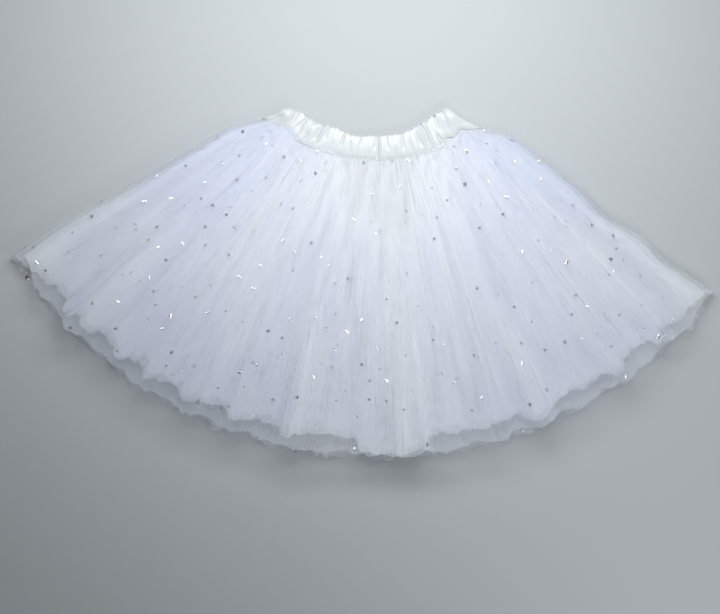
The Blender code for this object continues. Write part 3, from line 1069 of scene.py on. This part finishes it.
def sequin_tree(material):
    """Scatters stars over a piece of tulle: kept apart, turned at random, and tilted off its surface."""
    tree, given, end = new_group(
        "Star sequins", "GeometryNodeTree",
        [("Geometry", "NodeSocketGeometry", None), ("Star", "NodeSocketObject", None),
         ("Spacing", "NodeSocketFloat", 0.011), ("Density", "NodeSocketFloat", 1800.0),
         ("Tilt", "NodeSocketFloat", 0.6), ("Lift", "NodeSocketFloat", 0.0004),
         ("Seed", "NodeSocketInt", 4)],
        [("Geometry", "NodeSocketGeometry")])
    spread = add_node(tree, "GeometryNodeDistributePointsOnFaces", {
        "Mesh": given["Geometry"], "Distance Min": given["Spacing"], "Density Max": given["Density"],
        "Seed": given["Seed"]}, distribute_method="POISSON")
    star = add_node(tree, "GeometryNodeObjectInfo", {"Object": given["Star"]})
    tilt = math_node(tree, "MULTIPLY", given["Tilt"], -1.0)
    low = add_node(tree, "ShaderNodeCombineXYZ", {0: tilt, 1: tilt, 2: 0.0})
    high = add_node(tree, "ShaderNodeCombineXYZ", {0: given["Tilt"], 1: given["Tilt"], 2: 2 * math.pi})
    turn = add_node(tree, "FunctionNodeRandomValue", {
        0: low.outputs[0], 1: high.outputs[0], "Seed": given["Seed"]}, data_type="FLOAT_VECTOR")
    size = add_node(tree, "FunctionNodeRandomValue", {
        2: STAR_SMALLEST, 3: STAR_LARGEST, "Seed": given["Seed"]}, data_type="FLOAT")
    stars = add_node(tree, "GeometryNodeInstanceOnPoints", {
        "Points": spread.outputs["Points"], "Instance": star.outputs["Geometry"],
        "Rotation": spread.outputs["Rotation"], "Scale": size.outputs[1]})
    turned = add_node(tree, "GeometryNodeRotateInstances", {
        "Instances": stars.outputs[0], "Rotation": turn.outputs[0]})
    raised = add_node(tree, "GeometryNodeTranslateInstances", {
        "Instances": turned.outputs[0], "Local Space": False,
        "Translation": scaled(tree, spread.outputs["Normal"], given["Lift"])})
    end_with(tree, end, raised, material)
    return tree


def plain_mesh_of(obj, tree, inputs, name):
    """A new object that holds what the tree makes of an object, as a plain mesh. None of it sinks into the
    table."""
    modifier = obj.modifiers.new(name, "NODES")
    modifier.node_group = tree
    sockets = tree.interface.items_tree
    identifiers = {item.name: item.identifier for item in sockets if item.in_out == "INPUT"}
    for key, value in inputs.items():
        modifier[identifiers[key]] = value
    bpy.context.view_layer.update()
    depsgraph = bpy.context.evaluated_depsgraph_get()
    mesh = bpy.data.meshes.new_from_object(obj.evaluated_get(depsgraph), depsgraph=depsgraph)
    mesh.name = name
    points = np.empty(3 * len(mesh.vertices), np.float32)
    mesh.vertices.foreach_get("co", points)
    points[2::3] = np.maximum(points[2::3], 0.0)
    mesh.vertices.foreach_set("co", points)
    obj.modifiers.remove(modifier)
    return link_object(name, mesh)


def stitch_tree(material):
    """Lays short stitches end to end along a line, each a rounded bead of thread."""
    tree, given, end = new_group(
        "Gathering stitches", "GeometryNodeTree",
        [("Geometry", "NodeSocketGeometry", None), ("Pitch", "NodeSocketFloat", 0.0031),
         ("Length", "NodeSocketFloat", 0.0021), ("Thickness", "NodeSocketFloat", 0.00042)],
        [("Geometry", "NodeSocketGeometry")])
    line = add_node(tree, "GeometryNodeMeshToCurve", {0: given["Geometry"]})
    points = add_node(tree, "GeometryNodeResampleCurve", {
        "Curve": line.outputs[0], "Length": given["Pitch"]}, mode="LENGTH")
    bead = add_node(tree, "GeometryNodeMeshUVSphere", {"Segments": 8, "Rings": 5, "Radius": 0.5})
    tangent = add_node(tree, "GeometryNodeInputTangent")
    aligned = add_node(tree, "FunctionNodeAlignRotationToVector", {"Vector": tangent.outputs[0]}, axis="X")
    scale = add_node(tree, "ShaderNodeCombineXYZ", {
        0: given["Length"], 1: given["Thickness"], 2: given["Thickness"]})
    beads = add_node(tree, "GeometryNodeInstanceOnPoints", {
        "Points": points.outputs[0], "Instance": bead.outputs[0], "Rotation": aligned.outputs[0],
        "Scale": scale.outputs[0]})
    end_with(tree, end, beads, material)
    return tree


# ---------------------------------------------------------------- operators

class TUTU_OT_waistband(bpy.types.Operator):
    """Makes the ruched satin waistband and the stitches that hold the tulle in it"""

    bl_idname = "tutu.waistband"
    bl_label = "Satin waistband"

    def execute(self, context):
        settings = context.scene.tutu_band
        band, points = make_waistband(settings)
        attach(band, "root")
        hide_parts("waistband")

        columns = points.shape[1]
        lines = bpy.data.meshes.new("stitch lines")
        spots = np.concatenate([points[row] for row in STITCH_ROWS])
        edges = []
        for start in range(0, len(spots), columns):
            edges += [(start + i, start + (i + 1) % columns) for i in range(columns)]
        lines.from_pydata(spots.tolist(), edges, [])
        guide = link_object("stitch lines", lines)
        tree = stitch_tree(thread_material())
        stitches = plain_mesh_of(guide, tree, {"Pitch": settings.stitch_pitch, "Length": settings.stitch},
                                 "gathering_stitches")
        bpy.data.objects.remove(guide)
        stitches.data.shade_smooth()
        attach(stitches, "root")
        return {"FINISHED"}


class TUTU_OT_tulle(bpy.types.Operator):
    """Makes the three layers of tulle, each gathered all round"""

    bl_idname = "tutu.tulle"
    bl_label = "Tulle layers"

    def execute(self, context):
        settings = context.scene.tutu_tulle
        net = net_group()
        for tier in TIERS:
            name = f"tulle_{tier.name}"
            points, white = tier_points(tier)
            length = tier.back_hem - WAIST_RADIUS
            share = hem_span(tier) / hem_span(TIERS[0])
            waist_cut, hem_cut = settings.waist_cut * share, settings.hem_cut * share
            mesh = ring_mesh(name, points, (waist_cut, hem_cut, length))
            cover = settings.cover if tier.loft == 1 else settings.under_cover
            cover = cover_of(points, (waist_cut, hem_cut), cover, white)
            for attribute, values in (("cover", cover), ("white", white)):
                data = mesh.attributes.new(attribute, "FLOAT", "POINT").data
                data.foreach_set("value", values.astype(np.float32).ravel())
            mesh.materials.append(tulle_material(f"Tulle {tier.name}", settings, net))
            layer = link_object(name, mesh)
            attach(layer, "root")
            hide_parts(f"{name}_front", f"{name}_back")
        return {"FINISHED"}


class TUTU_OT_sequins(bpy.types.Operator):
    """Scatters the star sequins over the outer and middle layers"""

    bl_idname = "tutu.sequins"
    bl_label = "Star sequins"

    def execute(self, context):
        settings = context.scene.tutu_sequins
        tree = sequin_tree(foil_material(settings))
        star = link_object("star", star_mesh(settings.diameter))
        for layer, density in (("outer", settings.outer_density), ("middle", settings.middle_density)):
            stars = plain_mesh_of(bpy.data.objects[f"tulle_{layer}"], tree, {
                "Star": star, "Spacing": settings.spacing, "Density": density,
                "Seed": settings.seed + len(layer)}, f"sequins_{layer}")
            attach(stars, "root")
        bpy.data.objects.remove(star)
        return {"FINISHED"}


class TUTU_OT_stage(bpy.types.Operator):
    """Makes the table, the light and the camera"""

    bl_idname = "tutu.stage"
    bl_label = "Stage"

    def execute(self, context):
        settings = context.scene.tutu_stage
        scene = context.scene
        mesh = bpy.data.meshes.new("table")
        corners = ((-1, -1), (1, -1), (1, 1), (-1, 1))
        mesh.from_pydata([(x * TABLE_HALF, y * TABLE_HALF, -TABLE_DROP) for x, y in corners],
                         [], [(0, 1, 2, 3)])
        mesh.materials.append(table_material(settings))
        table = link_object("table", mesh)

        for soft_lamp in LAMPS:
            lamp = bpy.data.lights.new(soft_lamp.name, "AREA")
            lamp.shape = "RECTANGLE"
            lamp.size, lamp.size_y = soft_lamp.width, soft_lamp.depth
            lamp.energy = getattr(settings, soft_lamp.setting)
            lamp.color = settings.light_colour
            link_object(soft_lamp.name, lamp).location = soft_lamp.place

        world = bpy.data.worlds.new("soft light")
        world.use_nodes = True
        sky = world.node_tree.nodes["Background"]
        sky.inputs["Color"].default_value = SKY_COLOUR
        sky.inputs["Strength"].default_value = settings.sky
        scene.world = world
        scene.view_settings.view_transform = "Standard"
        # Light crosses a dozen nets on its way down and up again.
        scene.cycles.transparent_max_bounces = 40
        scene.cycles.diffuse_bounces = 8

        lens = bpy.data.cameras.new("camera")
        lens.sensor_width = SENSOR
        lens.lens = SENSOR * settings.camera_height / settings.view_width
        camera = link_object("camera", lens)
        camera.location = (CAMERA_X, CAMERA_Y, settings.camera_height)
        scene.camera = camera
        return {"FINISHED"}


class TUTU_PT_panel(bpy.types.Panel):
    """Lists the tutu's pieces"""

    bl_label = "Ballet tutu"
    bl_idname = "TUTU_PT_panel"
    bl_space_type = "VIEW_3D"
    bl_region_type = "UI"
    bl_category = "Tutu"

    def draw(self, context):
        for settings, operator in (
            ("tutu_stage", "tutu.stage"), ("tutu_band", "tutu.waistband"),
            ("tutu_tulle", "tutu.tulle"), ("tutu_sequins", "tutu.sequins"),
        ):
            box = self.layout.box()
            group = getattr(context.scene, settings)
            for name in group.bl_rna.properties.keys():
                if name not in {"rna_type", "name"}:
                    box.prop(group, name)
            box.operator(operator)


SETTINGS = {
    "tutu_tulle": TutuTulleSettings,
    "tutu_sequins": TutuSequinSettings,
    "tutu_band": TutuBandSettings,
    "tutu_stage": TutuStageSettings,
}
OPERATORS = (TUTU_OT_stage, TUTU_OT_waistband, TUTU_OT_tulle, TUTU_OT_sequins)


def register():
    for cls in (*SETTINGS.values(), *OPERATORS, TUTU_PT_panel):
        bpy.utils.register_class(cls)
    for name, cls in SETTINGS.items():
        setattr(bpy.types.Scene, name, PointerProperty(type=cls))


def unregister():
    for name in SETTINGS:
        delattr(bpy.types.Scene, name)
    for cls in reversed((*SETTINGS.values(), *OPERATORS, TUTU_PT_panel)):
        bpy.utils.unregister_class(cls)


def main():
    register()
    bpy.ops.tutu.stage()
    bpy.ops.tutu.waistband()
    bpy.ops.tutu.tulle()
    bpy.ops.tutu.sequins()


if __name__ == "__main__":
    main()
